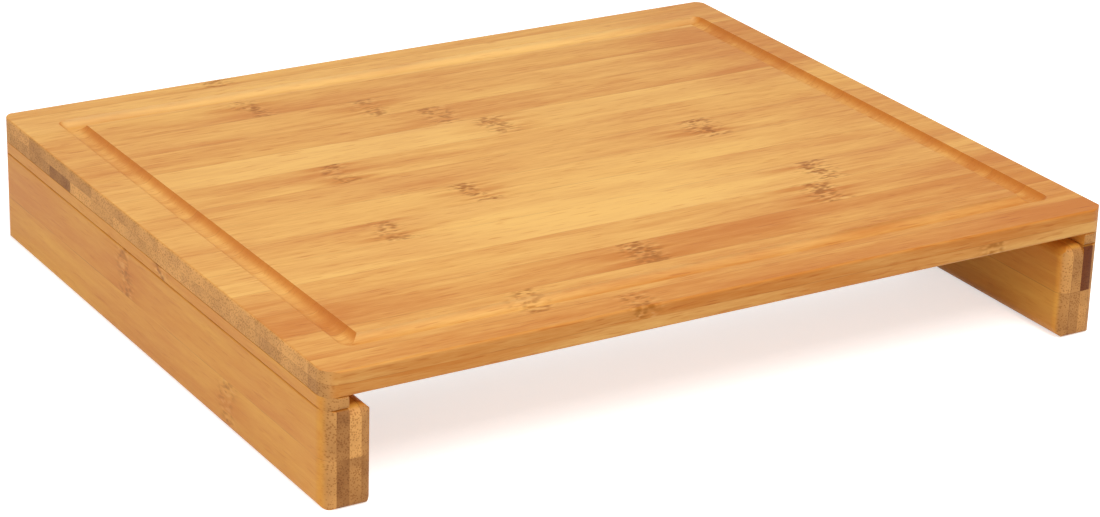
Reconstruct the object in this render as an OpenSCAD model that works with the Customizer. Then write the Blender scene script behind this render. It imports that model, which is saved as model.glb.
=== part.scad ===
// Raised bamboo cutting board on two side rails, with two steel trays whose
// rims slide in the slots between the board and the rails.
// Millimetres. Origin: middle of the footprint, on the table. +X right, +Y back, +Z up.

/* [Board] */
// Width of the board, left to right, along the grain
board_w = 380; // [300:1:600]
// Depth of the board, front to back
board_d = 320; // [280:1:420]
// Thickness of each of the two layers of staves
layer_t = 5.5; // [4.5:0.1:12]
// Radius of the board's corners seen from above
corner_r = 8; // [3:0.5:8.5]
// Easing of the board's long edges
edge_r = 1.2; // [0.5:0.1:2]
// Easing along both sides of the joint between spacer and board
seam_r = 0.3; // [0.2:0.1:0.8]
// Width of one bamboo stave
stave_w = 22.7; // [18:0.1:40]
// Width left of the stave at the back edge after trimming
back_stave_w = 10.5; // [8:0.5:18]
// Narrowest stave allowed at the front edge
front_stave_min = 8; // [7:0.5:12]

/* [Juice groove] */
// Distance from the left edge to the middle of the groove
groove_left_inset = 23.6; // [14:0.1:40]
// Distance from the right edge to the middle of the groove
groove_right_inset = 20.4; // [14:0.1:40]
// Distance from the front edge to the middle of the groove
groove_front_inset = 24.4; // [14:0.1:40]
// Distance from the back edge to the middle of the groove
groove_back_inset = 25.4; // [14:0.1:40]
// Radius of the round cutter that makes the groove
groove_r = 6.2; // [3:0.1:8]
// Depth of the groove
groove_depth = 3.1; // [1.5:0.1:4]

/* [Side rails] */
// Height of each rail
rail_h = 42; // [36:0.5:80]
// Thickness of one ply of a rail
ply_t = 5.25; // [4.5:0.05:10]
// Number of plies in a rail
ply_count = 4; // [3:1:5]
// Height of the lower course of strips in each ply
lower_course_h = 21; // [12:0.5:24]
// Rounding of the rail's inner edges, and above its ends where no spacer is in the way
rail_edge_r = 5; // [1:0.1:5]
// Rounding below the rail's ends, above them under the spacer, and along the outer bottom edge
rail_end_r = 2.5; // [1:0.1:4]
// Easing along both sides of the joint between rail and spacer
joint_r = 0.8; // [0.3:0.1:1.5]

/* [Tray slots] */
// Height of the slot, which is the thickness of the spacer strip
slot_h = 5.5; // [4.5:0.1:12]
// Width of the spacer strip
spacer_w = 10.5; // [9.5:0.1:14]
// Rounding under the spacer's front and back ends
spacer_end_r = 2.2; // [0.5:0.1:4]

/* [Dowels] */
// Diameter of the glued dowels
dowel_d = 5; // [3:0.5:6]
// Length of a dowel
dowel_len = 25; // [18:0.5:30]
// How far a dowel reaches into the board
dowel_in_board = 6.5; // [4:0.5:8]
// The second stave from the front has a dowel at each end, and so has every stave
// that lies this many further back
dowel_stave_step = 6; // [2:1:8]
// Chamfer at both ends of a dowel
dowel_chamfer = 0.6; // [0.2:0.1:1]

/* [Trays] */
// Front to back size of a tray's rim
tray_len = 117; // [80:1:130]
// Depth of the pan below its rim
tray_h = 34; // [15:0.5:38]
// Thickness of the steel sheet
sheet_t = 0.8; // [0.5:0.1:1.5]
// Width of the flat rim at the front and back of a tray
rim_w = 7; // [5:0.5:12]
// Height of the lip turned down at the front and back of the rim
lip_h = 5; // [3:0.5:10]
// Corner radius of the rim seen from above
rim_corner_r = 7; // [3:0.5:10]
// Corner radius of the pan seen from above
pan_corner_r = 12; // [9:0.5:20]
// Radius between the pan's walls and floor
pan_floor_r = 6; // [3:0.5:8]

/* [Clearances] */
// Running gap under the rims
rim_gap = 0.2; // [0.1:0.05:0.5]
// Gap from a rim's end to the spacer at each side
rim_side_gap = 2; // [1:0.5:4]
// Gap from the pan to the rail at each side
pan_side_gap = 2; // [1:0.5:6]
// Gap between the two rims, and from the rear rim to the board's back edge
tray_gap = 2; // [1:0.5:5]
// Room round a dowel in its hole
dowel_fit = 0.03; // [0.01:0.01:0.1]
// Room past each end of a dowel in its hole
dowel_end_room = 0.5; // [0.2:0.1:1]

/* [Hidden] */
$fn = 64;
// How far a cutter, or a blank that is cut, runs past a face
past = 1;
rail_w = ply_count * ply_t;
slot_z = rail_h;
board_z = rail_h + slot_h;
mid_z = board_z + layer_t;
top_z = mid_z + layer_t;
left_x = -board_w / 2;
front_y = -board_d / 2;
back_y = board_d / 2;
bay_w = board_w - 2 * rail_w;

full_staves = floor((board_d - back_stave_w - front_stave_min) / stave_w);
stave_count = full_staves + 2;
front_stave_w = board_d - back_stave_w - full_staves * stave_w;

groove_z = top_z - groove_depth + groove_r;
groove_xs = [left_x + groove_left_inset, -left_x - groove_right_inset];
groove_ys = [front_y + groove_front_inset, back_y - groove_back_inset];

dowel_x = left_x + spacer_w / 2;
dowel_top_z = board_z + dowel_in_board;
first_dowel_stave = 2;
last_whole_stave = stave_count - 1;

pan_w = bay_w - 2 * pan_side_gap;
pan_len = tray_len - 2 * rim_w;
rim_span = board_w - 2 * spacer_w - 2 * rim_side_gap;
tray_z = slot_z + rim_gap;
rear_tray_y = back_y - tray_gap - tray_len / 2;
front_tray_y = rear_tray_y - tray_len - tray_gap;

honey = [0.84, 0.62, 0.36];
pale = [0.88, 0.68, 0.42];
amber = [0.76, 0.53, 0.29];
toast = [0.66, 0.43, 0.24];
beech = [0.86, 0.74, 0.55];
steel = [0.78, 0.79, 0.80];
top_tones = [honey, pale, amber];
base_tones = [amber, toast, honey];
upper_ply_tones = [pale, toast, honey, amber];
lower_ply_tones = [honey, amber, toast, pale];

sides = ["left", "right"];
courses = ["lower", "upper"];

// Flat rectangle from [x0, y0] to [x1, y1] with a radius for each corner, in the order
// front left, front right, back right, back left. A radius of 0 leaves the corner sharp.
module rounded_rectangle(x0, y0, x1, y1, r) {
    corners = [[x0, y0, 1, 1], [x1, y0, -1, 1], [x1, y1, -1, -1], [x0, y1, 1, -1]];
    polygon([
        for (i = [0 : 3])
            let (c = corners[i],
                 on_side = [c[0], c[1] + c[3] * r[i]],
                 on_end = [c[0] + c[2] * r[i], c[1]])
            each r[i] == 0 ? [[c[0], c[1]]] : i % 2 == 0 ? [on_side, on_end] : [on_end, on_side]
    ]);
    for (i = [0 : 3])
        if (r[i] > 0)
            translate([corners[i][0] + corners[i][2] * r[i], corners[i][1] + corners[i][3] * r[i]])
                circle(r[i]);
}

// A block from low to high, seen from above, from the front and from the left side
// as three rounded rectangles. Each view's radii follow rounded_rectangle's order.
module eased_block(low, high, plan_r, front_r, side_r) {
    size = high - low;
    intersection() {
        translate([0, 0, low.z - past])
            linear_extrude(size.z + 2 * past)
                rounded_rectangle(low.x, low.y, high.x, high.y, plan_r);
        translate([0, high.y + past, 0])
            rotate([90, 0, 0])
                linear_extrude(size.y + 2 * past)
                    rounded_rectangle(low.x, low.z, high.x, high.z, front_r);
        translate([low.x - past, 0, 0])
            rotate([90, 0, 90])
                linear_extrude(size.x + 2 * past)
                    rounded_rectangle(low.y, low.z, high.y, high.z, side_r);
    }
}

// Everything between y0 and y1, and between z0 and z1, of whatever is given.
module keep_slice(y0, y1, z0, z1) {
    intersection() {
        children();
        translate([-board_w, y0, z0]) cube([2 * board_w, y1 - y0, z1 - z0]);
    }
}

module to_side(side) {
    if (side == "left") children();
    else mirror([1, 0, 0]) children();
}

// ---- Board ---------------------------------------------------------------

module board_blank() {
    eased_block(
        [left_x, front_y, board_z], [-left_x, back_y, top_z],
        corner_r * [1, 1, 1, 1], [seam_r, seam_r, edge_r, edge_r], edge_r * [1, 1, 1, 1]
    );
}

// The path of a round-nosed cutter: four straight runs and a ball at each corner.
module juice_groove() {
    for (y = groove_ys)
        translate([groove_xs[0], y, groove_z])
            rotate([0, 90, 0]) cylinder(r = groove_r, h = groove_xs[1] - groove_xs[0]);
    for (x = groove_xs) {
        translate([x, groove_ys[0], groove_z])
            rotate([-90, 0, 0]) cylinder(r = groove_r, h = groove_ys[1] - groove_ys[0]);
        for (y = groove_ys)
            translate([x, y, groove_z]) sphere(r = groove_r);
    }
}

// Front edge of stave i, counted from 1 at the front of the board.
function stave_y(i) = i == 1 ? front_y : front_y + front_stave_w + (i - 2) * stave_w;
function stave_end(i) = i == stave_count ? back_y : stave_y(i + 1);
// Staves at the very front and back are cut beyond the board's own edge.
function stave_low(i) = stave_y(i) - (i == 1 ? past : 0);
function stave_high(i) = stave_end(i) + (i == stave_count ? past : 0);

module top_stave(i) {
    color(top_tones[i % len(top_tones)])
        difference() {
            keep_slice(stave_low(i), stave_high(i), mid_z, top_z + past) board_blank();
            juice_groove();
            all_dowel_holes();
        }
}

module base_stave(i) {
    color(base_tones[i % len(base_tones)])
        difference() {
            keep_slice(stave_low(i), stave_high(i), board_z - past, mid_z) board_blank();
            all_dowel_holes();
        }
}

// ---- Left rail and spacer; the right ones are their mirror image ------------

// The rail before it is cut into strips, with the rounding above its ends.
module rail_blank(top_end_r) {
    eased_block(
        [left_x, front_y, 0], [left_x + rail_w, back_y, rail_h],
        [corner_r, rail_edge_r, rail_edge_r, corner_r],
        [rail_end_r, rail_edge_r, rail_edge_r, joint_r],
        [rail_end_r, rail_end_r, top_end_r, top_end_r]
    );
}

// One strip of a rail: ply 1 is on the outside of the board.
module rail_strip(side, course, ply) {
    lower = course == "lower";
    tones = lower ? lower_ply_tones : upper_ply_tones;
    z0 = lower ? -past : lower_course_h;
    z1 = lower ? lower_course_h : rail_h + past;
    x0 = left_x + (ply - 1) * ply_t - (ply == 1 ? past : 0);
    x1 = left_x + ply * ply_t + (ply == ply_count ? past : 0);
    beside_spacer = (ply - 1) * ply_t >= spacer_w;
    color(tones[ply % len(tones)])
        to_side(side)
            difference() {
                intersection() {
                    rail_blank(beside_spacer ? rail_edge_r : rail_end_r);
                    translate([x0, front_y - past, z0])
                        cube([x1 - x0, board_d + 2 * past, z1 - z0]);
                }
                dowel_holes();
            }
}

// The strip between rail and board. Its inner face is the end wall of the tray slot.
module spacer(side) {
    color(amber)
        to_side(side)
            difference() {
                eased_block(
                    [left_x, front_y, slot_z], [left_x + spacer_w, back_y, board_z],
                    [corner_r, joint_r, joint_r, corner_r],
                    [joint_r, joint_r, joint_r, seam_r],
                    [spacer_end_r, spacer_end_r, joint_r, joint_r]
                );
                dowel_holes();
            }
}

// ---- Dowels ----------------------------------------------------------------

module at_dowels() {
    for (i = [first_dowel_stave : dowel_stave_step : last_whole_stave])
        translate([dowel_x, stave_y(i) + stave_w / 2, dowel_top_z - dowel_len])
            children();
}

module dowel_holes() {
    at_dowels()
        translate([0, 0, -dowel_end_room])
            cylinder(d = dowel_d + 2 * dowel_fit, h = dowel_len + 2 * dowel_end_room);
}

module all_dowel_holes() {
    for (side = sides) to_side(side) dowel_holes();
}

module dowels(side) {
    color(beech)
        to_side(side)
            at_dowels() {
                cylinder(d1 = dowel_d - 2 * dowel_chamfer, d2 = dowel_d, h = dowel_chamfer);
                translate([0, 0, dowel_chamfer]) cylinder(d = dowel_d, h = dowel_len - 2 * dowel_chamfer);
                translate([0, 0, dowel_len - dowel_chamfer])
                    cylinder(d1 = dowel_d, d2 = dowel_d - 2 * dowel_chamfer, h = dowel_chamfer);
            }
}

// ---- Trays -----------------------------------------------------------------

// A pan's shape, w by d outside, from its floor at z = -h up to z = top,
// with radius r at the upright corners and floor_r round the floor.
module pan_shape(w, d, h, top, r, floor_r) {
    eased_block(
        [-w / 2, -d / 2, -h], [w / 2, d / 2, top],
        r * [1, 1, 1, 1], floor_r * [1, 1, 0, 0], floor_r * [1, 1, 0, 0]
    );
}

// One pressed tray. The underside of its rim is at z = 0.
module tray(y) {
    color(steel)
        translate([0, y, tray_z]) {
            difference() {
                union() {
                    linear_extrude(sheet_t)
                        rounded_rectangle(
                            -rim_span / 2, -tray_len / 2, rim_span / 2, tray_len / 2,
                            rim_corner_r * [1, 1, 1, 1]
                        );
                    pan_shape(pan_w, pan_len, tray_h, sheet_t, pan_corner_r, pan_floor_r);
                    for (s = [-1, 1])
                        translate([0, s * (tray_len - sheet_t) / 2, sheet_t / 2 - lip_h / 2])
                            cube([pan_w - 2 * rim_corner_r, sheet_t, lip_h + sheet_t], center = true);
                }
                translate([0, 0, sheet_t])
                    pan_shape(
                        pan_w - 2 * sheet_t, pan_len - 2 * sheet_t, tray_h, past,
                        pan_corner_r - sheet_t, pan_floor_r - sheet_t
                    );
            }
        }
}

// ---- All the pieces --------------------------------------------------------

for (i = [1 : stave_count]) {
    top_stave(i);
    base_stave(i);
}
for (s = sides) {
    spacer(s);
    dowels(s);
    for (c = courses, p = [1 : ply_count])
        rail_strip(s, c, p);
}
tray(front_tray_y);  // front_tray
tray(rear_tray_y);  // rear_tray
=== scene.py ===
# %% [markdown]
# # A raised bamboo cutting board with slide-in trays
#
# The board is a lamination. Fifteen bamboo staves lie side by side on fifteen more, and both
# layers stand on two rails that are glued up from strips. A narrow spacer between rail and board
# leaves a slot, and two pressed steel trays hang in the slots by their rims.
#
# The solids come ready made and to size, so this lesson is mostly about wood: how fibres, knuckles,
# end grain and glue lines can be drawn by nodes, and how one set of node groups dresses every
# strip as a piece cut from its own cane. The trays are pressed from sheet in mesh code.

# %% Load the solids that everything else is built around
import math

import bmesh
import bpy
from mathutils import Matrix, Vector


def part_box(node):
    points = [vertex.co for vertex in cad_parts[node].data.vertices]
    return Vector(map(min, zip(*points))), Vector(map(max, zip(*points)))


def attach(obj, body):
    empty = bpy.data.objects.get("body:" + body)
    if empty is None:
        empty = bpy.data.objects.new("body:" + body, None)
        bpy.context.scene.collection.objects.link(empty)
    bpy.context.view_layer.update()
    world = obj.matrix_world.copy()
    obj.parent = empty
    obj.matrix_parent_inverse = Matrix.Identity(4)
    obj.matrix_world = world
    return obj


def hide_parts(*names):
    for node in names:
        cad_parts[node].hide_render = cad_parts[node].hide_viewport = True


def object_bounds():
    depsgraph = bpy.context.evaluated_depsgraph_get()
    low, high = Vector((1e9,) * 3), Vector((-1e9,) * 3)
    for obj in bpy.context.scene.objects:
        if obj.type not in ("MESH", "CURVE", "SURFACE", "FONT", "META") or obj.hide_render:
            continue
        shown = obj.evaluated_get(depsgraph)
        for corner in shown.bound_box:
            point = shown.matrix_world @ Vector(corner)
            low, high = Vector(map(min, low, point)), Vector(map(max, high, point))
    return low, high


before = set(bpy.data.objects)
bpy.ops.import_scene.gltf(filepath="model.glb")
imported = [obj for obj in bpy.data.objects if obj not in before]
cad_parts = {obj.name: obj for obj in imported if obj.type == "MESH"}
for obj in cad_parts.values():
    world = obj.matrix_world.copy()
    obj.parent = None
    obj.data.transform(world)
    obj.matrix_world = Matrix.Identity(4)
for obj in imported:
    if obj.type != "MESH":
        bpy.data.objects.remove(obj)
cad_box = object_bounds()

MM = 0.001
board_low, board_high = cad_box
for axis, low, high in zip("XYZ", board_low, board_high):
    print(f"{axis}: {low / MM:.1f} to {high / MM:.1f} mm")

# %% [markdown]
# ## The camera
#
# The board is seen from its front left corner, from above, through a long lens: the far edge is
# hardly smaller than the near one. A camera can be aimed with a constraint, but three plain turns
# are easier to read, and they also hold the slight lean that the picture has.

# %% Place and turn the camera
focal_length = 107.28
camera_place = Vector((-708.5, -1159.7, 574.5)) * MM
camera_turns = (67.476, -1.654, -30.966)

camera = bpy.data.objects.new("camera", bpy.data.cameras.new("camera"))
camera.data.lens = focal_length
camera.data.clip_start = 0.05
camera.data.clip_end = 50
camera.location = camera_place
camera.rotation_euler = [math.radians(turn) for turn in camera_turns]
bpy.context.scene.collection.objects.link(camera)
bpy.context.scene.camera = camera
bpy.context.scene.view_settings.view_transform = "Standard"
print(f"camera {camera_place.length:.2f} m from the board's foot")

# %% [markdown]
# ## Writing shader trees in few words
#
# A shader tree made in code soon drowns in lines that add a node and link two sockets. A handful
# of helpers, one for each kind of step, lets a material be read as a formula. Each takes either
# another node's output or a plain value, and gives back the output to use next.

# %% Helpers for shader nodes
def rgb(red, green, blue):
    """A colour picked on screen, from 0 to 255, as the linear colour that a shader takes."""
    parts = [part / 255 for part in (red, green, blue)]
    linear = [p / 12.92 if p <= 0.04045 else ((p + 0.055) / 1.055) ** 2.4 for p in parts]
    return (*linear, 1)


def feed(tree, socket, value):
    """Link the socket to another node's output, or set it to a plain value."""
    if isinstance(value, bpy.types.NodeSocket):
        tree.links.new(value, socket)
    else:
        socket.default_value = value


def add_node(tree, kind, **settings):
    node = tree.nodes.new("ShaderNode" + kind)
    for name, value in settings.items():
        setattr(node, name, value)
    return node


def maths(tree, operation, *values):
    node = add_node(tree, "Math", operation=operation)
    for socket, value in zip(node.inputs, values):
        feed(tree, socket, value)
    return node.outputs[0]


def vector_maths(tree, operation, *values):
    node = add_node(tree, "VectorMath", operation=operation)
    for socket, value in zip(node.inputs, values):
        feed(tree, socket, value)
    return node.outputs[0]


def fade(tree, value, start, end):
    """0 before start and 1 after end, with a soft step in between. start may be the larger."""
    node = add_node(tree, "MapRange", interpolation_type="SMOOTHSTEP")
    for name, given in (("Value", value), ("From Min", start), ("From Max", end)):
        feed(tree, node.inputs[name], given)
    return node.outputs[0]


def blend(tree, factor, first, second, how="MIX"):
    node = add_node(tree, "Mix", data_type="RGBA", blend_type=how)
    colour_inputs = [socket for socket in node.inputs if socket.type == "RGBA"]
    feed(tree, node.inputs[0], factor)
    feed(tree, colour_inputs[0], first)
    feed(tree, colour_inputs[1], second)
    return next(socket for socket in node.outputs if socket.type == "RGBA")


def noise(tree, place, per_metre, detail=2.0):
    """Cloudy noise from 0 to 1, with so many clouds in a metre along X, Y and Z."""
    node = add_node(tree, "TexNoise")
    node.inputs["Scale"].default_value = 1
    node.inputs["Detail"].default_value = detail
    feed(tree, node.inputs["Vector"], vector_maths(tree, "MULTIPLY", place, per_metre))
    return node.outputs[0]


def around_zero(tree, value, size):
    """Turn noise from 0 to 1 into a push either way of up to half the size."""
    return maths(tree, "MULTIPLY", maths(tree, "SUBTRACT", value, 0.5), size)


def total(tree, *values):
    result = values[0]
    for value in values[1:]:
        result = maths(tree, "ADD", result, value)
    return result


def axis_of(tree, vector, axis):
    node = add_node(tree, "SeparateXYZ")
    feed(tree, node.inputs[0], vector)
    return node.outputs["XYZ".index(axis)]


def start_group(name, inputs, outputs):
    """A node group with named inputs (name: (kind, start value)) and outputs (name: kind)."""
    group = bpy.data.node_groups.new(name, "ShaderNodeTree")
    for title, (kind, value) in inputs.items():
        socket = group.interface.new_socket(name=title, in_out="INPUT", socket_type="NodeSocket" + kind)
        socket.default_value = value
    for title, kind in outputs.items():
        group.interface.new_socket(name=title, in_out="OUTPUT", socket_type="NodeSocket" + kind)
    given = group.nodes.new("NodeGroupInput").outputs
    wanted = group.nodes.new("NodeGroupOutput").inputs
    return group, given, wanted


def use_group(tree, group, **values):
    """Put a group into a material. A value named first_word stands for the socket "First word"."""
    node = tree.nodes.new("ShaderNodeGroup")
    node.node_tree = group
    for name, value in values.items():
        feed(tree, node.inputs[name.replace("_", " ").capitalize()], value)
    return node.outputs


def start_material(name):
    """A material with an empty Principled shader, its tree, and the place of each point."""
    material = bpy.data.materials.new(name)
    material.use_nodes = True
    tree = material.node_tree
    shader = tree.nodes["Principled BSDF"]
    place = add_node(tree, "TexCoord")
    return material, tree, shader, place


def add_bump(tree, shader, height, strength, distance):
    bump = add_node(tree, "Bump")
    bump.inputs["Strength"].default_value = strength
    bump.inputs["Distance"].default_value = distance
    feed(tree, bump.inputs["Height"], height)
    feed(tree, shader.inputs["Normal"], bump.outputs[0])


print("helpers ready")

# %% [markdown]
# ## Bamboo fibre
#
# Cane has no yearly rings. Its wall is a pale ground packed with long fibre bundles, so a stave
# shows fine straight streaks that run its whole length, and a few dark flecks where a bundle was
# cut open. Noise that is stretched along the grain gives just that. Four sizes are added up: soft
# clouds as long as a hand, flames as long as a finger, streaks, and single fibres. A slow sideways
# push keeps the streaks from looking ruled.
#
# The grain runs along X inside the group. Each strip has its own seed, so that no two match.

# %% The bamboo fibre group
def make_fibre_group():
    group, given, wanted = start_group(
        "bamboo fibre",
        {
            "Place": ("Vector", (0, 0, 0)),
            "Seed": ("Float", 0.0),
            "Tone": ("Float", 0.5),
            "Contrast": ("Float", 1.0),
            "Pale": ("Color", rgb(240, 196, 132)),
            "Deep": ("Color", rgb(200, 134, 66)),
        },
        {"Colour": "Color", "Height": "Float", "Cloud": "Float"},
    )
    seed_step = (0.7, 1.9, 3.1)
    shifted = vector_maths(
        group, "ADD", given["Place"], vector_maths(group, "MULTIPLY", given["Seed"], seed_step)
    )
    sway = add_node(group, "CombineXYZ")
    push = around_zero(group, noise(group, shifted, (6, 26, 26), 1), 8 * MM)
    feed(group, sway.inputs["Y"], push)
    feed(group, sway.inputs["Z"], push)
    swayed = vector_maths(group, "ADD", shifted, sway.outputs[0])

    clouds = noise(group, swayed, (7, 44, 44), 2)
    flames = noise(group, swayed, (17, 170, 170), 2)
    streaks = noise(group, swayed, (45, 620, 620), 2)
    fibres = noise(group, swayed, (150, 2000, 2000), 1)
    flecks = fade(group, noise(group, swayed, (75, 950, 950), 1), 0.60, 0.74)

    swing = total(
        group,
        around_zero(group, clouds, 1.2),
        around_zero(group, flames, 0.65),
        around_zero(group, streaks, 0.50),
        around_zero(group, fibres, 0.35),
    )
    tone = maths(group, "ADD", given["Tone"], maths(group, "MULTIPLY", swing, given["Contrast"]))
    ground = blend(group, fade(group, tone, -0.25, 1.25), given["Deep"], given["Pale"])
    fleck_share = maths(group, "MULTIPLY", maths(group, "MULTIPLY", flecks, 0.55), given["Contrast"])
    fleck_tint = rgb(226, 192, 148)
    fleck_depth = maths(group, "MULTIPLY", flecks, -0.7)
    feed(group, wanted["Colour"], blend(group, fleck_share, ground, fleck_tint, "MULTIPLY"))
    feed(group, wanted["Height"], total(group, fibres, streaks, fleck_depth))
    feed(group, wanted["Cloud"], clouds)
    return group


fibre_group = make_fibre_group()
print("made group:", fibre_group.name)

# %% [markdown]
# ## Knuckles
#
# Every 250 to 400 mm a cane has a joint, where the bundles split up and cross over. Planed flat, it
# leaves a mottled band about 10 mm long right across the stave: brown spots where bundles come up
# through the surface, pale and dark dashes feathered round them, and flames of darker wood that
# fade out along the grain. A stave of this length holds one joint, as a rule, so the group takes
# its place along the grain. Slow noise pushes the band out of square and opens gaps in it.

# %% The knuckle group
def make_knuckle_group():
    group, given, wanted = start_group(
        "bamboo knuckle",
        {
            "Place": ("Vector", (0, 0, 0)),
            "Seed": ("Float", 0.0),
            "Centre": ("Float", 0.0),
            "Length": ("Float", 10 * MM),
        },
        {"Flame": "Float", "Dark": "Float", "Light": "Float", "Spots": "Float"},
    )
    seed_step = (2.3, 0.9, 1.7)
    shifted = vector_maths(
        group, "ADD", given["Place"], vector_maths(group, "MULTIPLY", given["Seed"], seed_step)
    )
    wander = around_zero(group, noise(group, shifted, (28, 95, 95), 1), 14 * MM)
    along = maths(group, "SUBTRACT", axis_of(group, given["Place"], "X"), given["Centre"])
    along = maths(group, "ADD", along, wander)
    half_length = maths(group, "MULTIPLY", given["Length"], 0.5)
    away = maths(group, "DIVIDE", maths(group, "ABSOLUTE", along), half_length)
    band = fade(group, away, 1.2, 0.5)
    wide_band = fade(group, away, 2.4, 0.6)
    reach = fade(group, away, 6.5, 0.8)

    feather = noise(group, shifted, (190, 620, 620), 1)
    dark = maths(group, "MULTIPLY", fade(group, feather, 0.50, 0.64), wide_band)
    light = maths(group, "MULTIPLY", fade(group, feather, 0.46, 0.32), wide_band)

    cells = add_node(group, "TexVoronoi")
    cells.inputs["Scale"].default_value = 1
    feed(group, cells.inputs["Vector"], vector_maths(group, "MULTIPLY", shifted, (280, 480, 480)))
    fullness = fade(group, noise(group, shifted, (90, 170, 170), 1), 0.28, 0.58)
    spot_edge = maths(group, "MULTIPLY", fullness, 0.80)
    spot_core = maths(group, "MULTIPLY", spot_edge, 0.25)
    spots = fade(group, cells.outputs["Distance"], spot_edge, spot_core)

    flames = fade(group, noise(group, shifted, (16, 210, 210), 1), 0.45, 0.68)
    feed(group, wanted["Flame"], maths(group, "MULTIPLY", flames, reach))
    feed(group, wanted["Dark"], dark)
    feed(group, wanted["Light"], light)
    feed(group, wanted["Spots"], maths(group, "MULTIPLY", spots, band))
    return group


knuckle_group = make_knuckle_group()
print("made group:", knuckle_group.name)

# %% [markdown]
# ## End grain
#
# Cut across, the same bundles show as dots about half a millimetre apart, thick on the side that
# was the cane's skin and thin towards its hollow. A Voronoi texture gives one dot for each cell.
# Its coordinates are flattened along the grain, so that the dots run straight into the wood, and
# a slow noise opens and closes them. End grain also drinks more oil, so it is darker and duller.

# %% The end grain group
def make_end_group():
    group, given, wanted = start_group(
        "bamboo end grain",
        {"Place": ("Vector", (0, 0, 0)), "Seed": ("Float", 0.0)},
        {"Dots": "Float", "Cloud": "Float"},
    )
    seed_step = (1.1, 2.7, 0.6)
    shifted = vector_maths(
        group, "ADD", given["Place"], vector_maths(group, "MULTIPLY", given["Seed"], seed_step)
    )
    dots = add_node(group, "TexVoronoi")
    dots.inputs["Scale"].default_value = 1
    feed(group, dots.inputs["Vector"], vector_maths(group, "MULTIPLY", shifted, (12, 1150, 1150)))
    openness = noise(group, shifted, (12, 160, 160), 1)
    dot_edge = maths(group, "ADD", maths(group, "MULTIPLY", openness, 0.5), 0.25)
    inner_edge = maths(group, "MULTIPLY", dot_edge, 0.4)
    feed(group, wanted["Dots"], fade(group, dots.outputs["Distance"], dot_edge, inner_edge))
    feed(group, wanted["Cloud"], noise(group, shifted, (8, 70, 70), 2))
    return group


end_group = make_end_group()
print("made group:", end_group.name)

# %% [markdown]
# ## Glue lines
#
# Where two strips meet, sanding leaves a hairline of glue, a little darker than the wood. It could
# be modelled, but a line a quarter of a millimetre wide would need many faces for little show.
# Each strip is a solid of its own, so the line is simply drawn along its sides: the group measures
# how far a point is from the nearest side of the strip's box, and leaves out the sides that are
# the board's own outside, which are passed to it as lying far away.

# %% The glue line group
def make_glue_group():
    group, given, wanted = start_group(
        "glue line",
        {
            "Place": ("Vector", (0, 0, 0)),
            "Low": ("Vector", (0, 0, 0)),
            "High": ("Vector", (0, 0, 0)),
            "Width": ("Float", 0.25 * MM),
        },
        {"Line": "Float"},
    )
    nearest = vector_maths(
        group,
        "MINIMUM",
        vector_maths(group, "SUBTRACT", given["Place"], given["Low"]),
        vector_maths(group, "SUBTRACT", given["High"], given["Place"]),
    )
    distance = maths(
        group,
        "MINIMUM",
        maths(group, "MINIMUM", axis_of(group, nearest, "X"), axis_of(group, nearest, "Y")),
        axis_of(group, nearest, "Z"),
    )
    strength = fade(group, noise(group, given["Place"], (35, 35, 35), 2), 0.30, 0.62)
    line = fade(group, distance, given["Width"], 0.0)
    feed(group, wanted["Line"], maths(group, "MULTIPLY", line, strength))
    return group


glue_group = make_glue_group()
print("made group:", glue_group.name)

# %% [markdown]
# ## One bamboo material for each strip
#
# Every strip has the same make-up and differs in seed, tone, knuckle and box, so one function
# builds them all. A Mapping node turns the pattern for the rails and spacers, whose grain runs
# from front to back. The surface normal, turned the same way, tells how squarely the grain is cut:
# a slant cut, such as the walls of the juice groove across the staves, soaks up oil and turns
# amber, and a square cut shows the dots of the end grain. Where the groove runs with the grain, its
# walls get a painted highlight: a paler colour that stands in for the sheen they catch. A stave's
# side is a shade duller than its face. The eased rim of the board's left and right ends is still end
# grain, though its normal leans. A patch is a place where the cane was lighter or darker for part
# of its length, and one more patch makes the right end of every top stave darker.

# %% The colours of bamboo
PALE, RAIL_PALE, DEEP = rgb(243, 190, 104), rgb(243, 190, 86), rgb(200, 118, 36)
END_PALE, END_DEEP = rgb(234, 172, 98), rgb(104, 50, 14)
DOT_TINT = rgb(190, 162, 126)
KNUCKLE, FLAME, LIGHT_DASH = rgb(166, 96, 10), rgb(198, 116, 30), rgb(248, 202, 124)
SLANT_TINT, FRONT_TINT = rgb(236, 206, 156), rgb(239, 242, 255)
# The first colour here is a painted highlight for groove walls that face front or back; the second is the
# amber of slant cuts.
GROOVE_HIGHLIGHT, SOAKED = rgb(255, 226, 160), rgb(224, 160, 80)
GLUE = rgb(120, 66, 28)
knuckle_paints = (
    ("Flame", FLAME, 0.66), ("Light", LIGHT_DASH, 0.25), ("Dark", KNUCKLE, 0.58), ("Spots", KNUCKLE, 0.90),
)
for title, colour in (("deep", DEEP), ("pale", PALE)):
    print(title, "bamboo:", [round(part, 2) for part in colour[:3]])

# %% Turn the pattern, and tell how each surface is cut
def share_of(tree, mask, amount):
    return maths(tree, "MULTIPLY", mask, amount)


def turned_to_grain(tree, vector, grain):
    """The vector, turned so that a strip's grain always runs along X."""
    turn = add_node(tree, "Mapping", vector_type="POINT")
    turn.inputs["Rotation"].default_value[2] = 0 if grain == "X" else math.radians(-90)
    feed(tree, turn.inputs["Vector"], vector)
    return turn.outputs[0]


def near_board_end(tree, along, upward):
    """1 where a stave's cut end may show end grain: on upright faces and on the eased rim."""
    rim_start, rim_full = board_high.x - 4 * MM, board_high.x - 2 * MM
    from_middle = axis_of(tree, vector_maths(tree, "ABSOLUTE", along), "X")
    upright = fade(tree, upward, 0.50, 0.20)
    return maths(tree, "MAXIMUM", upright, fade(tree, from_middle, rim_start, rim_full))


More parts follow.
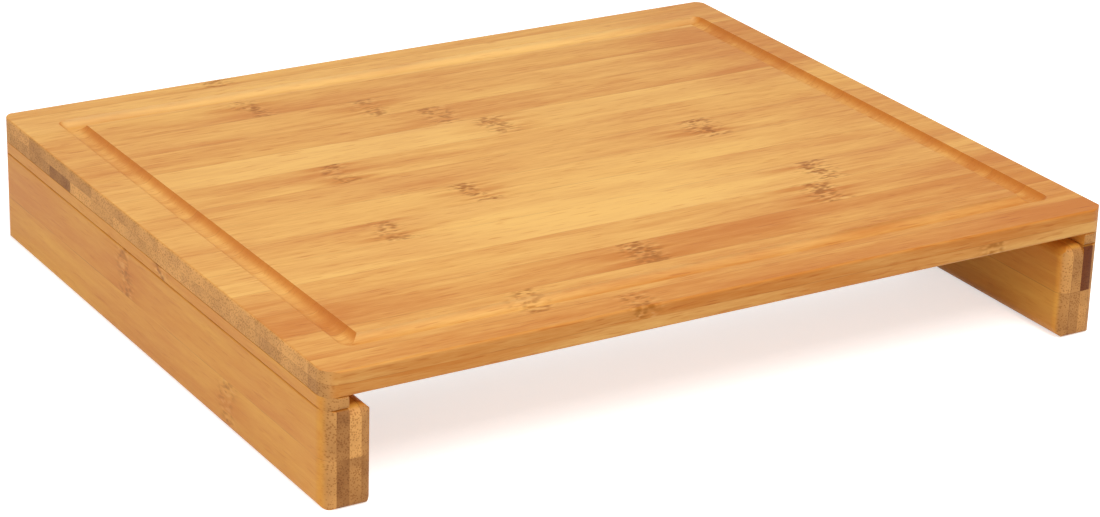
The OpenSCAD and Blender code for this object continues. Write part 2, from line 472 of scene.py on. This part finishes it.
def patch_tone(tree, along, patches, tone):
    """The strip's tone, raised or lowered by patches of (centre, half length, change) in mm."""
    if not patches:
        return tone
    x = axis_of(tree, along, "X")
    wander = around_zero(tree, noise(tree, along, (9, 70, 70), 2), 90 * MM)
    x = maths(tree, "ADD", x, wander)
    for centre, half, change in patches:
        away = maths(tree, "ABSOLUTE", maths(tree, "SUBTRACT", x, centre * MM))
        inside = fade(tree, away, 1.2 * half * MM, 0.4 * half * MM)
        tone = maths(tree, "ADD", tone, share_of(tree, inside, change))
    return tone


def paint_knuckle(tree, wood, bumps, along, seed, knuckle):
    """Blend the knuckle's marks into the wood, and sink its spots a little."""
    spot_dent = 0.06
    at, length, strength = knuckle
    mark = use_group(
        tree, knuckle_group, place=along, seed=seed, centre=at * MM, length=length * MM
    )
    for mask, colour, amount in knuckle_paints:
        share = share_of(tree, mark[mask], min(amount * strength, 1))
        wood = blend(tree, share, wood, colour)
    return wood, maths(tree, "SUBTRACT", bumps, share_of(tree, mark["Spots"], spot_dent))


def oil_cut_faces_and_paint_highlight(tree, wood, along, tone, end_on, sideways, upward):
    """Paint a highlight on a stave's groove walls that lean towards Y, and tint its slant cuts and its
    long sides.
    """
    rim_start, rim_end = board_high.y - 4 * MM, board_high.y - 8 * MM
    from_middle = axis_of(tree, vector_maths(tree, "ABSOLUTE", along), "Y")
    inside_rim = fade(tree, from_middle, rim_start, rim_end)
    # Painted highlight: walls that lean towards the front or back turn paler, more so on pale staves, in
    # place of the sheen they catch.
    painted_highlight = share_of(tree, fade(tree, sideways, 0.15, 0.55), inside_rim)
    wood = blend(tree, share_of(tree, painted_highlight, share_of(tree, tone, 0.3)), wood, GROOVE_HIGHLIGHT)
    slant = share_of(tree, fade(tree, end_on, 0.2, 0.8), fade(tree, upward, 0.20, 0.50))
    wood = blend(tree, share_of(tree, slant, 0.6), wood, SOAKED)
    wood = blend(tree, slant, wood, SLANT_TINT, "MULTIPLY")
    return blend(tree, fade(tree, sideways, 0.6, 0.9), wood, FRONT_TINT, "MULTIPLY")


print("a knuckle is painted in", len(knuckle_paints), "layers")

# %% The bamboo material
def bamboo(name, seed, box, grain="X", tone=0.5, end_tone=0.5, knuckle=None, contrast=1.0,
           patches=(), glue_strength=0.3, pale=PALE):
    """A strip's material. box holds the sides that are glued, and knuckle the mark's (place
    along the grain in mm, length in mm, strength), or None."""
    is_stave = grain == "X"
    material, tree, shader, place = start_material(name)
    along = turned_to_grain(tree, place.outputs["Object"], grain)
    facing = turned_to_grain(tree, place.outputs["Normal"], grain)
    end_on, sideways, upward = [maths(tree, "ABSOLUTE", axis_of(tree, facing, axis)) for axis in "XYZ"]
    end_share = fade(tree, end_on, 0.35, 0.75)
    if is_stave:
        end_share = share_of(tree, end_share, near_board_end(tree, along, upward))

    tone = patch_tone(tree, along, patches, tone)
    fibre = use_group(
        tree, fibre_group, place=along, seed=seed, tone=tone, contrast=contrast, pale=pale, deep=DEEP
    )
    long_grain, bumps = fibre["Colour"], fibre["Height"]
    if knuckle:
        long_grain, bumps = paint_knuckle(tree, long_grain, bumps, along, seed, knuckle)
    if is_stave:
        long_grain = oil_cut_faces_and_paint_highlight(tree, long_grain, along, tone, end_on, sideways, upward)

    ends = use_group(tree, end_group, place=along, seed=seed)
    end_swing = maths(tree, "ADD", around_zero(tree, ends["Cloud"], 0.55), end_tone)
    end_colour = blend(tree, fade(tree, end_swing, -0.14, 1.06), END_DEEP, END_PALE)
    end_colour = blend(tree, share_of(tree, ends["Dots"], 0.65), end_colour, DOT_TINT, "MULTIPLY")

    glue = use_group(tree, glue_group, place=place.outputs["Object"], low=box[0], high=box[1])
    wood = blend(tree, end_share, long_grain, end_colour)
    wood = blend(tree, share_of(tree, glue["Line"], glue_strength), wood, GLUE)
    feed(tree, shader.inputs["Base Color"], wood)

    gloss = total(tree, 0.50, around_zero(tree, fibre["Cloud"], 0.14), share_of(tree, end_share, 0.16))
    feed(tree, shader.inputs["Roughness"], gloss)
    shader.inputs["Specular IOR Level"].default_value = 0.2
    add_bump(tree, shader, bumps, 0.25, 0.12 * MM)
    return material


print("bamboo material ready to be made for each strip")

# %% Dress a solid, and find its glued sides
FAR_AWAY = 10.0


def dress(node_name, material):
    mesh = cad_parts[node_name].data
    mesh.materials.clear()
    mesh.materials.append(material)


def glued_box(node_name, open_sides):
    """The node's box, with each side in open_sides, such as "-Y", moved far away."""
    corners = [list(corner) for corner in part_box(node_name)]
    for sign, axis in open_sides:
        end = 0 if sign == "-" else 1
        corners[end]["XYZ".index(axis)] = -FAR_AWAY if sign == "-" else FAR_AWAY
    return corners


print("named solids in the part:", len(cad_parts))

# %% [markdown]
# ## The board's staves
#
# A real board is hardly sorted, so that pale and dark staves fall where they please. One material
# with a random value for each object would be quicker to write, but lists can say which stave is
# pale and where its knuckle sits. A tone is 0 for amber and 1 for straw, a knuckle is its place
# along the stave and its length in mm, and its strength, and the lists run from the front edge of
# the board to the back.

# %% Dress the thirty staves
stave_tones = [0.22, 0.38, 0.26, 0.49, 0.72, 0.61, 0.65, 0.59, 0.58, 0.71, 0.47, 0.55, 0.45, 0.80, 0.49]
top_end_tones = [0.58, 0.76, 0.66, 0.74, 0.72, 0.80, 0.74, 0.70, 0.66, 0.68, 0.58, 0.56, 0.54, 0.68, 0.64]
base_end_tones = [0.52, 0.70, 0.58, 0.70, 0.66, 0.70, 0.78, 0.70, 0.70, 0.66, 0.82, 0.34, 0.50, 0.60, 0.64]
stave_knuckles = {
    1: (-46, 10, 0.9), 2: (-84, 11, 0.8), 3: (-16, 12, 1.2), 4: (89, 10, 1.4), 5: (105, 11, 1.2),
    6: (-100, 10, 0.9), 7: (-47, 8, 1.1), 8: (88, 11, 1.2), 9: (-89, 9, 1.1), 10: (5, 9, 0.9),
    11: (-13, 11, 0.9), 12: (-36, 9, 0.8), 13: (-85, 9, 1.0), 15: (-84, 11, 0.9),
}
base_front_tone = 0.32
base_front_knuckle = (130, 10, 0.9)
stave_patches = {
    2: [(85, 40, -0.20)],
    3: [(30, 40, -0.20), (-120, 40, 0.15)],
    5: [(0, 90, 0.28)],
    6: [(-10, 80, 0.22)],
    10: [(-80, 90, 0.32)],
}
# A patch that makes the right end of every top stave darker.
darker_right_end = (185, 70, -0.22)
top_seed_step = 1.37
base_seed_start, base_seed_step = 40, 1.93
stave_count = len(stave_tones)


def stave_open_sides(number, layer):
    """The sides of a stave that nothing is glued to."""
    sides = ["-X", "+X", "+Z" if layer == "top" else "-Z"]
    if number == 1:
        sides.append("-Y")
    if number == stave_count:
        sides.append("+Y")
    return sides


for number in range(1, stave_count + 1):
    tone = stave_tones[number - 1]
    top_name, base_name = f"top_stave_{number}", f"base_stave_{number}"
    dress(top_name, bamboo(
        top_name, number * top_seed_step, glued_box(top_name, stave_open_sides(number, "top")),
        tone=tone, end_tone=top_end_tones[number - 1], knuckle=stave_knuckles.get(number),
        patches=[*stave_patches.get(number, ()), darker_right_end],
    ))
    base_seed = base_seed_start + number * base_seed_step
    dress(base_name, bamboo(
        base_name, base_seed, glued_box(base_name, stave_open_sides(number, "base")),
        tone=base_front_tone if number == 1 else tone, end_tone=base_end_tones[number - 1],
        knuckle=base_front_knuckle if number == 1 else (120 - 17 * number, 10, 0.9),
    ))
print(f"dressed {2 * stave_count} staves")

# %% [markdown]
# ## Rails and spacers
#
# A rail is four plies thick, and each ply is two strips high. Their ends face the front, so this is
# where the cut bundles show best, and where neighbouring strips differ most. A second material
# could be made for them, but the same one serves, turned by a quarter: the grain runs from front to
# back, and so does the place of each knuckle. Lists run from the outer ply to the inner one.

# %% Dress the rails and spacers
ply_end_tones = {
    "left": {"upper": [0.54, 0.32, 0.74, 0.45], "lower": [0.54, 0.28, 0.40, 0.38]},
    "right": {"upper": [0.40, -0.12, 0.43, 0.60], "lower": [0.52, 0.52, 0.34, 0.45]},
}
ply_tones = {"upper": [0.26, 0.30, 0.50, 0.35], "lower": [0.38, 0.35, 0.40, 0.42]}
outer_knuckles = {"upper": (26, 9, 0.9), "lower": (-75, 9, 0.8)}
spacer_tone, spacer_end_tone = 0.30, 0.48
spacer_knuckle = (-13, 8, 1.2)
hidden_knuckle_places = (-110, 60, 95, -40)
rail_contrast = 0.6
ply_count = len(hidden_knuckle_places)
rail_seed_step = 2.3
seed = 90


def ply_open_sides(side, ply, course):
    """The sides of a rail strip that nothing is glued to."""
    outer, inner = ("-X", "+X") if side == "left" else ("+X", "-X")
    sides = ["-Y", "+Y", "-Z" if course == "lower" else "+Z"]
    if ply == 1:
        sides.append(outer)
    if ply == ply_count:
        sides.append(inner)
    return sides


for side in ("left", "right"):
    for course in ("lower", "upper"):
        for ply in range(1, ply_count + 1):
            seed += rail_seed_step
            name = f"{side}_rail_{course}_strip_{ply}"
            knuckle = outer_knuckles[course] if ply == 1 else (hidden_knuckle_places[ply - 1], 9, 0.9)
            dress(name, bamboo(
                name, seed, glued_box(name, ply_open_sides(side, ply, course)), grain="Y",
                tone=ply_tones[course][ply - 1], end_tone=ply_end_tones[side][course][ply - 1],
                knuckle=knuckle, contrast=rail_contrast, glue_strength=0.5, pale=RAIL_PALE,
            ))
    seed += rail_seed_step
    name = f"{side}_spacer"
    dress(name, bamboo(
        name, seed, glued_box(name, ["-X", "+X", "-Y", "+Y"]), grain="Y",
        tone=spacer_tone, end_tone=spacer_end_tone, knuckle=spacer_knuckle,
        contrast=rail_contrast, glue_strength=0.3, pale=RAIL_PALE,
    ))
print("dressed the rails and spacers of both sides")

# %% [markdown]
# ## Dowels
#
# The dowels are sealed in the wood and never show, but a part that is taken apart on screen should
# hold no bare grey plugs. Turned beech is plain: a pale ground with short darker flecks. Two
# noises, drawn out along the dowel, are enough for that, and all six dowels share them.

# %% The beech material
def beech():
    material, tree, shader, place = start_material("beech")
    point = place.outputs["Object"]
    flecks = fade(tree, noise(tree, point, (1800, 1800, 260), 1), 0.55, 0.68)
    ground = blend(tree, noise(tree, point, (500, 500, 25), 2), rgb(196, 152, 104), rgb(226, 190, 146))
    feed(tree, shader.inputs["Base Color"], blend(tree, flecks, ground, rgb(168, 116, 72)))
    shader.inputs["Roughness"].default_value = 0.6
    add_bump(tree, shader, flecks, 0.2, 0.1 * MM)
    return material


dowel_wood = beech()
for side in ("left", "right"):
    dress(f"{side}_dowels", dowel_wood)
print("dressed the dowels")

# %% [markdown]
# ## The trays
#
# Each tray is one sheet of steel, 0.8 mm thick, pressed into a pan with a flat rim. The ends of the
# rim run in the slots, and its front and back edges are turned down to stiffen it and to take the
# sharpness off. The solid has the size, but bright steel would show every flat face of it, so the
# tray is shaped once more with even rows of faces, and stands in for the solid.
#
# The sheet is modelled as a skin: an outline with round corners is drawn twice, the rim is bridged
# between the two, the walls are extruded down and the floor's edge is rounded. Solidify then gives
# the skin its thickness, where a real press starts from the full sheet.

# %% Shape one tray
SHEET = 0.8 * MM
CORNER_STEPS = 8


def round_outline(bm, width, depth, radius, height):
    """A flat rectangle with round corners, as a face. Its corners are bevelled vertices."""
    corners = bmesh.ops.create_grid(bm, x_segments=1, y_segments=1, size=0.5)["verts"]
    bmesh.ops.scale(bm, vec=(width, depth, 1), verts=corners)
    bmesh.ops.translate(bm, vec=(0, 0, height), verts=corners)
    made = bmesh.ops.bevel(
        bm, geom=corners, offset=radius, segments=CORNER_STEPS, profile=0.5,
        affect="VERTICES", material=-1,
    )
    face = max((f for v in made["verts"] for f in v.link_faces), key=lambda f: len(f.verts))
    return face


def only_verts(geometry):
    return [g for g in geometry if isinstance(g, bmesh.types.BMVert)]


def tray_skin(rim_size, pan_size, rim_z, floor_z):
    """The sheet's skin: a rim with turned-down front and back edges, walls and a floor."""
    rim_corner, pan_corner, floor_radius, rim_bend = 7 * MM, 12 * MM, 6 * MM, 1.5 * MM
    lip_height, lip_half = 5 * MM, 160 * MM
    bm = bmesh.new()
    rim = round_outline(bm, rim_size[0], rim_size[1] - 2 * SHEET, rim_corner, rim_z)
    pan = round_outline(bm, pan_size[0], pan_size[1], pan_corner, rim_z)
    rim_edges, pan_edges = list(rim.edges), list(pan.edges)
    bmesh.ops.delete(bm, geom=[rim, pan], context="FACES_ONLY")
    bmesh.ops.bridge_loops(bm, edges=rim_edges + pan_edges)

    walls = bmesh.ops.extrude_edge_only(bm, edges=pan_edges)["geom"]
    floor_verts = only_verts(walls)
    floor_edges = [
        g for g in walls
        if isinstance(g, bmesh.types.BMEdge) and all(v in floor_verts for v in g.verts)
    ]
    bmesh.ops.translate(bm, vec=(0, 0, floor_z - rim_z), verts=floor_verts)
    bmesh.ops.contextual_create(bm, geom=floor_edges)
    bmesh.ops.bevel(
        bm, geom=floor_edges, offset=floor_radius, segments=6, profile=0.5, affect="EDGES", material=-1
    )
    bmesh.ops.bevel(
        bm, geom=pan_edges, offset=rim_bend, segments=4, profile=0.5, affect="EDGES", material=-1
    )

    for x in (-lip_half, lip_half):
        everything = bm.verts[:] + bm.edges[:] + bm.faces[:]
        bmesh.ops.bisect_plane(bm, geom=everything, plane_co=(x, 0, 0), plane_no=(1, 0, 0))
    fold = [
        e for e in bm.edges
        if e.is_boundary and all(abs(v.co.x) < lip_half + 0.01 * MM for v in e.verts)
    ]
    lip = bmesh.ops.extrude_edge_only(bm, edges=fold)["geom"]
    bmesh.ops.translate(bm, vec=(0, 0, -lip_height), verts=only_verts(lip))
    bmesh.ops.recalc_face_normals(bm, faces=bm.faces[:])
    return bm


def pressed_tray(name, node):
    """A tray of the same size and place as the node that it stands in for."""
    low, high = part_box(node)
    wall_gap = 7 * MM
    pan_width = 334 * MM
    rim_size = (high.x - low.x, high.y - low.y)
    pan_size = (pan_width, rim_size[1] - 2 * wall_gap)
    bm = tray_skin(rim_size, pan_size, high.z - SHEET, low.z)
    floor = min(bm.faces, key=lambda f: f.calc_center_median().z)
    if floor.normal.z > 0:
        bmesh.ops.reverse_faces(bm, faces=bm.faces[:])
    bmesh.ops.translate(bm, vec=(0, (low.y + high.y) / 2, 0), verts=bm.verts[:])
    mesh = bpy.data.meshes.new(name)
    bm.to_mesh(mesh)
    bm.free()
    mesh.shade_smooth()
    mesh.set_sharp_from_angle(angle=math.radians(35))
    tray = bpy.data.objects.new(name, mesh)
    bpy.context.scene.collection.objects.link(tray)
    sheet = tray.modifiers.new("sheet", "SOLIDIFY")
    sheet.thickness = SHEET
    sheet.offset = -1
    sheet.use_even_offset = True
    edges = tray.modifiers.new("filed edges", "BEVEL")
    edges.width = 0.15 * MM
    edges.segments = 2
    edges.limit_method = "ANGLE"
    edges.angle_limit = math.radians(50)
    return tray


trays = {node: pressed_tray("pressed_" + node, node) for node in ("front_tray", "rear_tray")}
for node, tray in trays.items():
    print(node, "size in mm:", [round(side / MM, 1) for side in tray.dimensions])

# %% [markdown]
# ## Brushed steel
#
# The sheet is brushed along its length before it is pressed. The shader's own anisotropy could
# stretch the highlights, but it shows no single stroke from close by. So very fine noise, stretched
# along X, drives the roughness and a slight bump, and a slow cloud lets the finish vary as it does
# where hands have touched it.

# %% The steel material, and the trays' places in the part
def brushed_steel():
    material, tree, shader, place = start_material("tray steel")
    point = place.outputs["Object"]
    scratches = noise(tree, point, (25, 4500, 4500), 2)
    touch = noise(tree, point, (14, 14, 14), 3)
    tone = blend(tree, scratches, rgb(188, 190, 192), rgb(216, 217, 218))
    feed(tree, shader.inputs["Base Color"], tone)
    shader.inputs["Metallic"].default_value = 1
    gloss = total(tree, 0.30, around_zero(tree, scratches, 0.20), around_zero(tree, touch, 0.16))
    feed(tree, shader.inputs["Roughness"], gloss)
    add_bump(tree, shader, scratches, 0.12, 0.05 * MM)
    return material


steel = brushed_steel()
for node, tray in trays.items():
    tray.data.materials.append(steel)
    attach(tray, node)
    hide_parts(node)
print("trays ride on", list(trays))

# %% [markdown]
# ## Floor and light
#
# The picture has the board on pure white. The far walls of the grooves, which face the camera, are
# brighter than the top itself, so the main light stands high in front; the walls that face left
# are dark, so it also stands a little to the right. A weaker lamp fills in the left side. The
# world is white to the camera and to reflections, and half as bright to everything else. The
# floor glows a little in the same way, which makes it white but keeps the shadow.

# %% Set up the studio
def seen_share(tree):
    """1 for what is seen by the camera, through glass or as a reflection, and 0 for soft light."""
    rays = add_node(tree, "LightPath")
    seen = maths(tree, "MAXIMUM", rays.outputs["Is Camera Ray"], rays.outputs["Is Transmission Ray"])
    return maths(tree, "MAXIMUM", seen, rays.outputs["Is Glossy Ray"])


def white_world(strength):
    """A world that looks white and lights the board with the given strength."""
    world = bpy.data.worlds.new("studio")
    bpy.context.scene.world = world
    world.use_nodes = True
    tree = world.node_tree
    background = tree.nodes["Background"]
    background.inputs["Color"].default_value = (1, 1, 1, 1)
    extra = maths(tree, "MULTIPLY", seen_share(tree), 1 - strength)
    feed(tree, background.inputs["Strength"], maths(tree, "ADD", extra, strength))


def softbox(name, place, size, power):
    """A square lamp, in metres and watts, that points at the board's foot."""
    lamp = bpy.data.objects.new(name, bpy.data.lights.new(name, "AREA"))
    lamp.data.shape = "SQUARE"
    lamp.data.size = size
    lamp.data.energy = power
    lamp.location = place
    lamp.rotation_euler = (-Vector(place)).to_track_quat("-Z", "Y").to_euler()
    bpy.context.scene.collection.objects.link(lamp)


def pale_floor(half_width):
    """A pale floor a hair below the board's foot."""
    drop, glow = 0.1 * MM, 0.60
    bm = bmesh.new()
    bmesh.ops.create_grid(bm, x_segments=1, y_segments=1, size=half_width)
    bmesh.ops.translate(bm, vec=(0, 0, -drop), verts=bm.verts[:])
    mesh = bpy.data.meshes.new("floor")
    bm.to_mesh(mesh)
    bm.free()
    floor = bpy.data.objects.new("floor", mesh)
    bpy.context.scene.collection.objects.link(floor)
    material, tree, shader, _ = start_material("floor")
    shader.inputs["Base Color"].default_value = (0.92, 0.92, 0.92, 1)
    shader.inputs["Roughness"].default_value = 0.9
    shader.inputs["Specular IOR Level"].default_value = 0
    shader.inputs["Emission Color"].default_value = (1, 1, 1, 1)
    feed(tree, shader.inputs["Emission Strength"], maths(tree, "MULTIPLY", seen_share(tree), glow))
    mesh.materials.append(material)


white_world(0.5)
softbox("main light", place=(0.1, -1.5, 2.25), size=1.2, power=36)
softbox("left fill", place=(-1.0, -0.3, 0.9), size=0.6, power=3.2)
pale_floor(4.0)
print("studio ready")
